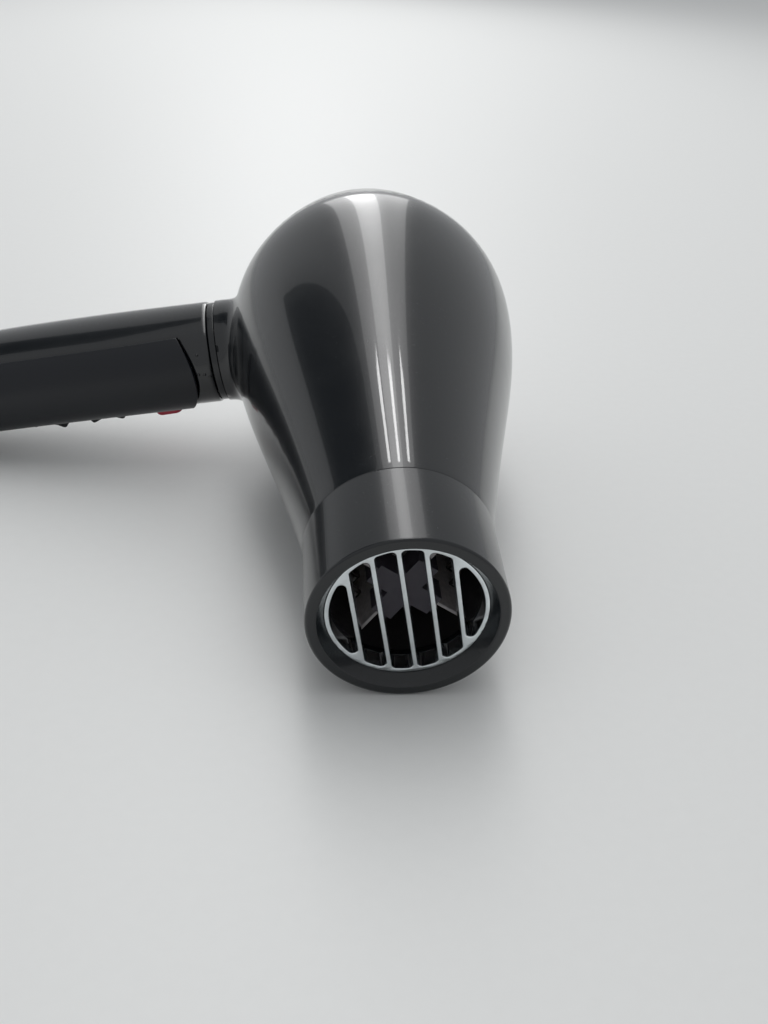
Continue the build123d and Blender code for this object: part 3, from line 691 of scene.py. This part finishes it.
def outletGrille():
    sheet = Sheet()
    slatMiddles = [(k - (grille["slats"] - 1) / 2) * grille["pitch"] for k in range(grille["slats"])]
    edge, front, back = grille["edge"], grille["front"], grille["back"]
    levels = [(front, edge), (front + edge * 0.134, edge * 0.5), (front + edge * 0.5, edge * 0.134),
              (front + edge, 0), (back - edge, 0), (back - edge * 0.3, edge * 0.3), (back, edge)]
    angles = np.linspace(0, 2 * math.pi, grille["segments"], endpoint=False)
    walls = [sheet.loft([circle(grille["radius"] - grow, y, angles) for y, grow in levels])]
    sides = [None] + slatMiddles + [None]
    for left, right in zip(sides, sides[1:]):
        rings = []
        for y, grow in levels:
            depth = (y - front) / (back - front)
            half = (grille["slatFront"] + (grille["slatBack"] - grille["slatFront"]) * depth) / 2 - grow
            low = None if left is None else left + half
            high = None if right is None else right - half
            flat = openingOutline(low, high, grille["inner"] + grow, grille["corner"])
            rings.append(np.stack([flat[:, 0], y + 0 * flat[:, 0], flat[:, 1]], -1))
        walls.append(sheet.loft(rings))
    for end in (0, -1):
        # the flat front and back faces, with every opening left out
        loops = [wall[end] for wall in walls]
        flat = [[Vector((sheet.points[k][0], sheet.points[k][2], 0)) for k in loop] for loop in loops]
        index = [k for loop in loops for k in loop]
        for triangle in tessellate_polygon(flat):
            sheet.faces.append(tuple(index[k] for k in triangle))
    addPiece("outletGrille", sheet, finishes["chrome_plate"], "outlet_grille")


outletGrille()

cover = {"startY": 158.2, "startRadius": 43.2, "bendY": 175.28, "bendRadius": 37.0, "endY": 182.0,
         "endRadius": 31.0, "startSlope": -0.34, "endSlope": 0.12, "faceLift": 0.12, "faceRadius": 29.4,
         "slots": 28, "slotWidth": 2.2, "slotInner": 14.0, "slotOuter": 28.0, "slotSteps": 10,
         "hubRadii": (12.0, 9.5, 7.0, 4.0), "wall": 2.2, "edge": 0.3, "sideSteps": 15, "insideY": 120.0}
coverRib = {"skirt": 5.0, "skirtRise": 2.0, "skirtRadius": 40.4, "skirtWall": 1.6, "skirtSegments": 144,
            "ringInner": 20.1, "ringOuter": 21.9, "ringStart": 179.2, "ringEnd": 181.2, "ringSegments": 120}


def rearCover():
    points = np.array([(cover["startRadius"], cover["startY"]), (cover["bendRadius"], cover["bendY"]),
                       (cover["endRadius"], cover["endY"])])
    chord = np.concatenate([[0], np.cumsum(np.linalg.norm(np.diff(points, axis=0), axis=1))])
    leaving = np.array((cover["startSlope"], 1)) / np.hypot(cover["startSlope"], 1)
    arriving = np.array((-1, cover["endSlope"])) / np.hypot(1, cover["endSlope"])
    radiusAt = smoothCurve(chord, points[:, 0], leaving[0], arriving[0])
    heightAt = smoothCurve(chord, points[:, 1], leaving[1], arriving[1])
    faceY = cover["endY"] + cover["faceLift"]
    side = np.linspace(0, chord[-1], cover["sideSteps"])
    rows = [(float(radiusAt(s)), float(heightAt(s))) for s in side]
    rows += [(cover["faceRadius"], faceY)]
    firstSlotRow = len(rows)
    slotRadii = np.linspace(cover["slotOuter"], cover["slotInner"], cover["slotSteps"])
    rows += [(radius, faceY) for radius in slotRadii]
    lastSlotRow = len(rows) - 1
    rows += [(radius, faceY) for radius in cover["hubRadii"]]
    sheet = Sheet()
    sector = 2 * math.pi / cover["slots"]
    loops = []
    for radius, y in rows:
        # each slot spans two quads of its sector, one either side of its middle
        half = math.asin(cover["slotWidth"] / 2 / max(radius, cover["slotInner"]))
        cuts = np.array([-half, 0, half, half + (sector - 2 * half) / 2])
        angles = (np.arange(cover["slots"])[:, None] * sector + cuts).ravel()
        loops.append(sheet.loop(circle(radius, y, angles)))
    count = len(loops[0])
    for index, (first, second) in enumerate(zip(loops, loops[1:])):
        slotted = firstSlotRow <= index < lastSlotRow
        for k in range(count):
            if slotted and k % 4 in (0, 1):
                continue
            j = (k + 1) % count
            sheet.faces.append((first[k], first[j], second[j], second[k]))
    middle = sheet.loop([(0, faceY, 0)])[0]
    for k in range(count):
        sheet.faces.append((loops[-1][k], loops[-1][(k + 1) % count], middle))
    outwards(sheet, lambda point: np.array((0, cover["insideY"], 0)))
    addPiece("rearCover", sheet, finishes["gloss_black"], "rear_cover",
             thickness=cover["wall"], bevel=cover["edge"])


def coverRibs():
    # the skirt that slides into the barrel and the ring that holds the filter
    sheet = Sheet()
    outer, inner = coverRib["skirtRadius"], coverRib["skirtRadius"] - coverRib["skirtWall"]
    low, high = cover["startY"] - coverRib["skirt"], cover["startY"] + coverRib["skirtRise"]
    skirt = roundedOutline([(outer, low, 0.5), (outer, high, 0.2), (inner, high, 0.2), (inner, low, 0.5)], 3)
    sheet.lathe(skirt, coverRib["skirtSegments"])
    ring = roundedOutline([(radius, y, 0.4) for radius, y in (
        (coverRib["ringOuter"], coverRib["ringStart"]), (coverRib["ringOuter"], coverRib["ringEnd"]),
        (coverRib["ringInner"], coverRib["ringEnd"]), (coverRib["ringInner"], coverRib["ringStart"]))], 3)
    sheet.lathe(ring, coverRib["ringSegments"])
    addPiece("coverRibs", sheet, finishes["gloss_black"], "rear_cover")


rearCover()
coverRibs()

handle = {"start": 52.4, "end": 176.0, "rootY": 145.5, "wall": 2.2, "edge": 0.75, "tipRound": 4.0,
          "tipSteps": 8, "tipRings": (0.35, 0.7, 1.0), "rowLength": 1.8, "rootRowLength": 1.6,
          "around": (24, 18, 1, 7, 14), "insideEnd": 168.0, "inletRadius": 6.0,
          "bezelStart": 63.3, "bezelEnd": 123.7, "bezelMiddle": 144.108, "bezelHalf": 6.6,
          "shares": (0.0, 0.2, 0.45, 0.7, 1.0), "sweep": (0.0, 1.54, 2.8, 2.1, -6.0),
          "halfDepth": (17.8, 19.0, 19.3, 18.5, 15.0), "halfWidth": (16.4, 16.0, 15.6, 14.8, 12.6)}
panel = {"start": 62.0, "end": 168.0, "depth": 6.8, "gap": 0.22, "sink": 0.70, "rise": 4.0, "riseLength": 9.0,
         "wall": 2.1, "edge": 0.3, "around": 25}
sweepAt = smoothCurve(handle["shares"], handle["sweep"])
halfDepthAt = smoothCurve(handle["shares"], handle["halfDepth"])
halfWidthAt = smoothCurve(handle["shares"], handle["halfWidth"])


def handleSection(distance):
    share = (np.asarray(distance, float) - handle["start"]) / (handle["end"] - handle["start"])
    return handle["rootY"] + sweepAt(share), halfDepthAt(share), halfWidthAt(share)


def keyAngles(distance):
    # angles of the parting line and of the bezel's two long edges, from the back of the handle round +Z
    centre, depth = handleSection(distance)[:2]
    parting = math.acos(panel["depth"] / depth - 1)

    def bezelEdge(side):
        reach = handle["bezelMiddle"] + side * handle["bezelHalf"] - centre
        return 2 * math.pi - math.acos(np.clip(reach / depth, -0.95, 0.95))

    return parting, 2 * math.pi - parting, bezelEdge(-1), bezelEdge(1)


def anglesAround(distance):
    # angles of one row of the shell, with points on the parting line and on the bezel's edges
    keys = (0.0,) + keyAngles(distance) + (2 * math.pi,)
    return np.concatenate([np.linspace(low, high, count, endpoint=False)
                           for low, high, count in zip(keys, keys[1:], handle["around"])])


def handlePoint(distance, angle, inset=0.0):
    centre, depth, width = handleSection(distance)
    return (-distance, centre + (depth - inset) * math.cos(angle), (width - inset) * math.sin(angle))


def panelRise(angle, parting, distance):
    # the panel's upper end climbs towards the barrel in the middle of the panel
    share = np.clip((angle - parting) / (math.pi - parting), 0, None)
    share = share if share <= 1 else max(0.0, 2 - share)
    near = np.clip(1 - abs(distance - panel["start"]) / panel["riseLength"], 0, 1)
    return panel["rise"] * math.sin(share * math.pi / 2) * near * near * (3 - 2 * near)


def spread(low, high, length):
    return list(np.linspace(low, high, max(2, int(round((high - low) / length)) + 1)))


def handleShell():
    rows = spread(handle["start"], panel["start"], handle["rootRowLength"])
    keyRows = [panel["start"], handle["bezelStart"], handle["bezelEnd"], panel["end"],
               handle["end"] - handle["tipRound"]]
    for low, high in zip(keyRows, keyRows[1:]):
        rows += spread(low, high, handle["rowLength"])[1:]
    sheet = Sheet()
    loops = []
    for distance in rows:
        parting = keyAngles(distance)[0]
        loops.append(sheet.loop([handlePoint(distance - panelRise(angle, parting, distance), angle)
                                 for angle in anglesAround(distance)]))
    starts = np.cumsum((0,) + handle["around"])
    count = len(loops[0])
    for index, (first, second) in enumerate(zip(loops, loops[1:])):
        middle = (rows[index] + rows[index + 1]) / 2
        inPanel = panel["start"] < middle < panel["end"]
        inBezel = handle["bezelStart"] < middle < handle["bezelEnd"]
        for k in range(count):
            if inPanel and starts[1] <= k < starts[2]:
                continue
            if inBezel and starts[3] <= k < starts[4]:
                continue
            j = (k + 1) % count
            sheet.faces.append((first[k], first[j], second[j], second[k]))

    # rounded tip, then the flat end with the inlet hole
    centre, depth, width = handleSection(handle["end"])
    tip = handle["tipRound"]
    angles = anglesAround(handle["end"] - tip)
    rings = []
    for step in range(1, handle["tipSteps"] + 1):
        t = math.radians(90 * step / handle["tipSteps"])
        rings.append([handlePoint(handle["end"] - tip + tip * math.sin(t), angle, tip * (1 - math.cos(t)))
                      for angle in angles])
    for share in handle["tipRings"]:
        depthHere = (depth - tip) * (1 - share) + handle["inletRadius"] * share
        widthHere = (width - tip) * (1 - share) + handle["inletRadius"] * share
        rings.append([(-handle["end"], centre + depthHere * math.cos(a), widthHere * math.sin(a))
                      for a in angles])
    last = loops[-1]
    for ring in rings:
        loop = sheet.loop(ring)
        sheet.band(last, loop)
        last = loop
    outwards(sheet, lambda point: np.array((max(point[0], -handle["insideEnd"]),
                                            handleSection(-point[0])[0], 0)))
    return addPiece("handleShell", sheet, finishes["gloss_black"], "handle_shell",
                    thickness=handle["wall"], bevel=handle["edge"], bevelSteps=2)


def handleFrontPanel():
    gap = panel["gap"]
    sheet = Sheet()
    loops = []
    for distance in spread(panel["start"] + gap, panel["end"] - gap, handle["rowLength"]):
        parting = keyAngles(distance)[0]
        low = parting + gap / (handleSection(distance)[1] * math.sin(parting))
        loops.append(sheet.loop([
            handlePoint(distance - panelRise(angle, parting, distance), angle, panel["sink"])
            for angle in np.linspace(low, 2 * math.pi - low, panel["around"])]))
    for first, second in zip(loops, loops[1:]):
        sheet.band(first, second, closed=False)
    outwards(sheet, lambda point: np.array((point[0], handleSection(-point[0])[0], 0)))
    addPiece("handleFrontPanel", sheet, finishes["grip_black"], "handle_front_panel",
             thickness=panel["wall"], bevel=panel["edge"])


def drillHoles(piece, holes):
    # cuts round holes and keeps the result as the piece's own mesh
    cutters = []
    turn = np.linspace(0, 2 * math.pi, 48, endpoint=False)
    for middle, radius, length in holes:
        sheet = Sheet()
        sheet.loft([circle(radius, shift, turn) + np.array(middle) for shift in (-length / 2, length / 2)],
                   capStart=True, capEnd=True)
        cutter = bpy.data.objects.new("cutter", sheet.mesh("cutter"))
        bpy.context.scene.collection.objects.link(cutter)
        cutters.append(cutter)
        cut = piece.modifiers.new("cut", "BOOLEAN")
        cut.operation = "DIFFERENCE"
        cut.solver = "EXACT"
        cut.object = cutter
    piece.modifiers["shading"].show_viewport = False
    bpy.context.view_layer.update()
    solid = bpy.data.meshes.new_from_object(piece.evaluated_get(bpy.context.evaluated_depsgraph_get()))
    piece.modifiers.clear()
    solid.set_sharp_from_angle(angle=math.radians(meshWork["sharpAngle"]))
    piece.data = solid
    shading = piece.modifiers.new("shading", "WEIGHTED_NORMAL")
    shading.keep_sharp = True
    for cutter in cutters:
        bpy.data.objects.remove(cutter)


screw = {"distances": (133.0, 160.0), "holeRadius": 3.0, "length": 14.0}
backShell = handleShell()
drillHoles(backShell, [(handlePoint(distance, 0.0), screw["holeRadius"], screw["length"])
                       for distance in screw["distances"]])
handleFrontPanel()

# small raised dots, as (distance down the handle, angle round it, radius)
panelDots = ((76.0, 143.0, 0.5), (72.1, 144.8, 0.5), (66.4, 148.7, 0.75), (75.2, 167.1, 0.5),
             (62.6, 147.9, 0.5))
shellDots = ((56.4, 150.6, 0.5), (57.0, 172.8, 0.5), (55.0, 173.6, 0.5), (53.4, 177.0, 0.5))
dotProfile = ((-0.25, 1.0), (0.0, 1.0), (0.17, 0.9), (0.29, 0.68), (0.35, 0.36))   # height, share of radius


def raisedDots(name, dots, sink, node, slot):
    sheet = Sheet()
    turns = np.linspace(0, 2 * math.pi, 20, endpoint=False)
    for distance, degrees, radius in dots:
        angle = math.radians(degrees)
        middle = np.array(handlePoint(distance, angle, sink))
        ahead = np.array(handlePoint(distance + 0.5, angle, sink)) - middle
        across = np.array(handlePoint(distance, angle + 0.02, sink)) - middle
        ahead /= np.linalg.norm(ahead)
        across /= np.linalg.norm(across)
        normal = np.cross(ahead, across)
        normal *= np.sign(normal[1] * math.cos(angle) + normal[2] * math.sin(angle))
        sheet.loft([[middle + normal * height + radius * share * (ahead * math.cos(t) + across * math.sin(t))
                     for t in turns] for height, share in dotProfile], capStart=True, capEnd=True)
    addPiece(name, sheet, finishes[slot], node)


raisedDots("panelDots", panelDots, panel["sink"], "handle_front_panel", "grip_black")
raisedDots("neckDots", shellDots, 0.0, "handle_shell", "gloss_black")


seam = {"start": 50.0, "end": 52.2, "inset": 0.55, "wall": 4.0, "round": 0.3, "segments": 120}


def neckRing():
    sheet = Sheet()
    angles = np.linspace(0, 2 * math.pi, seam["segments"], endpoint=False)
    depth, width = neck["halfDepth"] - seam["inset"], neck["halfWidth"] - seam["inset"]
    loops = []
    start, end, wall, rounding = seam["start"], seam["end"], seam["wall"], seam["round"]
    for inset, x in roundedOutline([(0, start, rounding), (0, end, rounding), (wall, end, rounding),
                                    (wall, start, rounding)], 3):
        loops.append(np.stack([-x + 0 * angles, neck["centreY"] + (depth - inset) * np.cos(angles),
                               (width - inset) * np.sin(angles)], -1))
    sheet.loft(loops, ring=True)
    addPiece("neckRing", sheet, finishes["satin_black"], "neck_ring")


neckRing()


inlet = {"bore": 4.0, "start": 168.2, "sleeve": 5.8, "flange": 8.0, "flangeStart": 168.9, "flangeEnd": 170.5,
         "lip": 7.0, "lipStart": 178.2, "end": 180.2, "segments": 64}


def cordInlet():
    bore, sleeve, flange, lip = inlet["bore"], inlet["sleeve"], inlet["flange"], inlet["lip"]
    sheet = Sheet()
    outline = roundedOutline([
        (bore, inlet["start"], 0.3), (sleeve, inlet["start"], 0.3), (sleeve, inlet["flangeStart"], 0),
        (flange, inlet["flangeStart"], 0.3), (flange, inlet["flangeEnd"], 0.3),
        (sleeve, inlet["flangeEnd"], 0.2), (sleeve, inlet["lipStart"], 0.2), (lip, inlet["lipStart"], 0.5),
        (lip, inlet["end"], 0.7), (bore, inlet["end"], 0.6)], 4)
    sheet.lathe(outline, inlet["segments"], axis="handle", centre=float(handleSection(handle["end"])[0]))
    addPiece("cordInlet", sheet, finishes["rubber_black"], "cord_inlet")


cordInlet()

switches = {"forward": 3.6, "proud": 0.5, "width": 7.6, "radius": 7.5, "pivotDepth": 3.2, "speedAt": 93.0,
            "heatAt": 112.5, "heatTilt": 10.0}
# one half of a rocker's side as shares of its radius (along, out, rounding in mm), and its edge (in, back)
rockerSide = ((0.97, -0.24, 0.4), (0.965, 0.25, 1.2), (0.707, 0.70, 0.9), (0.35, 0.54, 2.0))
rockerEdge = ((0.0, 0.5), (0.07, 0.25), (0.25, 0.07), (0.5, 0.0))
button = {"at": 72.0, "length": 9.0, "corner": 2.4, "leastCorner": 0.35, "proud": 2.1, "height": 7.6,
          "round": 0.9, "crown": ((0.10, 3.2), (0.0, 2.0))}


def switchSpot(distance):
    # middle of a switch across the handle, and how far out the plate round it stands
    share = (distance - handle["start"]) / (handle["end"] - handle["start"])
    sweep, depth, width = [np.interp(share, handle["shares"], handle[key])
                           for key in ("sweep", "halfDepth", "halfWidth")]
    reach = width * math.sqrt(1 - (switches["forward"] / depth) ** 2) + switches["proud"]
    return handle["rootY"] + sweep - switches["forward"], -reach


def rockerPiece(name, distance, tilt, node):
    middle, face = switchSpot(distance)
    r = switches["radius"]
    half = switches["width"] / 2
    corners = [(-along * r, out * r, rounding) for along, out, rounding in rockerSide]
    corners += [(0, 0.49 * r, 4.0)] + [(-x, y, rounding) for x, y, rounding in reversed(corners)]
    side = roundedOutline(corners, 4)
    turn = math.radians(tilt)
    stations = [(-half + lift, inset) for lift, inset in rockerEdge]
    stations += [(half - lift, inset) for lift, inset in reversed(rockerEdge)]
    loops = []
    for across, inset in stations:
        shape = side * (1 - inset / (0.8 * r))
        along = shape[:, 0] * math.cos(turn) - shape[:, 1] * math.sin(turn)
        out = shape[:, 0] * math.sin(turn) + shape[:, 1] * math.cos(turn)
        loops.append(np.stack([-distance + along, middle + across + 0 * along,
                               face + switches["pivotDepth"] - out], -1))
    sheet = Sheet()
    sheet.loft(loops, capStart=True, capEnd=True)
    addPiece(name, sheet, finishes["switch_black"], node)


def coolShotButton():
    middle, face = switchSpot(button["at"])
    rounding = button["round"]
    stages = list(button["crown"])
    stages += [(rounding * (1 - math.cos(math.radians(t))), rounding * (1 - math.sin(math.radians(t))))
               for t in (0, 22, 45, 67, 90)]
    stages += [(button["height"], 0.0)]
    loops = []
    for depth, inset in stages:
        x = button["length"] / 2 - inset
        y = switches["width"] / 2 - inset
        corner = max(button["corner"] - inset, button["leastCorner"])
        flat = roundedOutline([(-x, -y, corner), (x, -y, corner), (x, y, corner), (-x, y, corner)], 8)
        loops.append(np.stack([-button["at"] + flat[:, 0], middle + flat[:, 1],
                               face - button["proud"] + depth + 0 * flat[:, 0]], -1))
    sheet = Sheet()
    sheet.loft(loops, capStart=True, capEnd=True)
    addPiece("coolShotButton", sheet, finishes["button_red"], "cool_shot_button")


rockerPiece("speedRocker", switches["speedAt"], 0.0, "speed_rocker")
rockerPiece("heatRocker", switches["heatAt"], switches["heatTilt"], "heat_rocker")
coolShotButton()

spring = {"radius": 2.2, "wire": 0.28, "pitch": 1.275, "height": 4.5, "start": 6.0, "pressed": 0.5,
          "turnSteps": 28, "wireSteps": 10}


def buttonSpring():
    # coils behind the button
    middle, face = switchSpot(button["at"])
    base = np.array((-button["at"], middle, face + spring["start"]))
    radius, climb = spring["radius"], spring["pitch"] / 2 / math.pi
    turns = spring["height"] / spring["pitch"]
    wireTurn = np.linspace(0, 2 * math.pi, spring["wireSteps"], endpoint=False)
    loops = []
    for t in np.linspace(0, 2 * math.pi * turns, int(turns * spring["turnSteps"])):
        out = np.array((math.cos(t), math.sin(t), 0))
        ahead = np.array((-math.sin(t) * radius, math.cos(t) * radius, climb))
        lift = np.cross(ahead / np.linalg.norm(ahead), out)
        centre = base + out * radius + (0, 0, climb * t)
        loops.append([centre + spring["wire"] * (out * math.cos(a) + lift * math.sin(a)) for a in wireTurn])
    sheet = Sheet()
    sheet.loft(loops, capStart=True, capEnd=True)
    piece = addPiece("buttonSpring", sheet, finishes["steel"], "button_spring")
    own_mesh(piece)


buttonSpring()

room = {"floorColour": rgb(0.78, 0.785, 0.775), "floorSize": 30.0, "floorRoughness": 0.45,
        "floorGrain": 260.0, "skyColour": rgb(0.95, 0.97, 0.99), "skyStrength": 0.50,
        "aim": (0.03, 0.0, 0.04),
        "softPlace": (0.07, 0.75, 1.25), "softSize": (0.70, 3.0), "softPower": 8.4,
        "lampPlace": (0.05, 0.70, 1.20), "lampSize": (0.22, 2.8), "lampPower": 4.6,
        "paneSize": (0.040, 0.022), "panePower": 0.050, "paneAim": (3.3, 35.0, 26.0),
        "panes": ((46.0, 722.0, 1009.0), (216.0, 723.0, 985.0), (380.0, 727.0, 931.0)),
        "cardPlace": (-560.0, 640.0, 760.0), "cardSize": (0.42, 0.80), "cardColour": rgb(0.10, 0.11, 0.12),
        "cardAim": (0.05, 0.0, 0.05)}


def flatSheet(name, width, depth, material):
    mesh = bpy.data.meshes.new(name)
    x, y = width / 2, depth / 2
    mesh.from_pydata([(-x, -y, 0), (x, -y, 0), (x, y, 0), (-x, y, 0)], [], [(0, 1, 2, 3)])
    mesh.materials.append(material)
    piece = bpy.data.objects.new(name, mesh)
    bpy.context.scene.collection.objects.link(piece)
    return piece


def makeFloor():
    colour = room["floorColour"]
    finish = Finish("paleTable", colour=colour, roughness=room["floorRoughness"])
    grain = finish.noise(room["floorGrain"], 3.0)
    finish.set(colour=finish.mix(grain, colour, lighter(colour, 1.03)),
               normal=finish.bump(grain, 0.03, 0.0002))
    flatSheet("floor", room["floorSize"], room["floorSize"], finish.material)


def addLamp(name, place, size, power, target=room["aim"]):
    data = bpy.data.lights.new(name, "AREA")
    data.shape = "RECTANGLE"
    data.size, data.size_y = size
    data.energy = power
    lamp = bpy.data.objects.new(name, data)
    lamp.location = place
    lamp.rotation_euler = (Vector(target) - Vector(place)).to_track_quat("-Z", "Y").to_euler()
    bpy.context.scene.collection.objects.link(lamp)


makeFloor()
addLamp("ceilingLamp", room["lampPlace"], room["lampSize"], room["lampPower"])
addLamp("softLamp", room["softPlace"], room["softSize"], room["softPower"])
for index, place in enumerate(room["panes"]):
    # the three bright panes that show just behind the collar
    addLamp(f"windowPane{index}", toRow([place])[0], room["paneSize"], room["panePower"],
            toRow([room["paneAim"]])[0])


def addCard():
    # dark card that only reflections see
    finish = Finish("darkCard", colour=room["cardColour"], roughness=0.9)
    card = flatSheet("darkCard", *room["cardSize"], finish.material)
    place = Vector(toRow([room["cardPlace"]])[0])
    card.location = place
    card.rotation_euler = (Vector(room["cardAim"]) - place).to_track_quat("-Z", "Y").to_euler()
    card.visible_camera = card.visible_diffuse = card.visible_shadow = card.visible_transmission = False


addCard()
world = bpy.data.worlds.new("room")
world.use_nodes = True
world.node_tree.nodes["Background"].inputs[0].default_value = room["skyColour"]
world.node_tree.nodes["Background"].inputs[1].default_value = room["skyStrength"]
bpy.context.scene.world = world
bpy.context.scene.view_settings.view_transform = "Standard"

viewpoint = {"place": (2.77, -211.9, 195.3), "forward": (-0.01712, 0.79497, -0.60641),
             "right": (0.98975, -0.07252, -0.12302), "lens": 42.19, "sensor": 36.0}


def makeCamera():
    data = bpy.data.cameras.new("camera")
    data.lens = viewpoint["lens"]
    data.sensor_width = viewpoint["sensor"]
    data.clip_start = 0.01
    camera = bpy.data.objects.new("camera", data)
    bpy.context.scene.collection.objects.link(camera)
    forward = Vector(np.array(viewpoint["forward"]) @ barrelTurn).normalized()
    right = Vector(np.array(viewpoint["right"]) @ barrelTurn)
    right = (right - forward * right.dot(forward)).normalized()
    up = right.cross(forward)
    turn = Matrix((right, up, -forward)).transposed().to_4x4()
    turn.translation = Vector(toRow([viewpoint["place"]])[0])
    camera.matrix_world = turn
    bpy.context.scene.camera = camera


makeCamera()
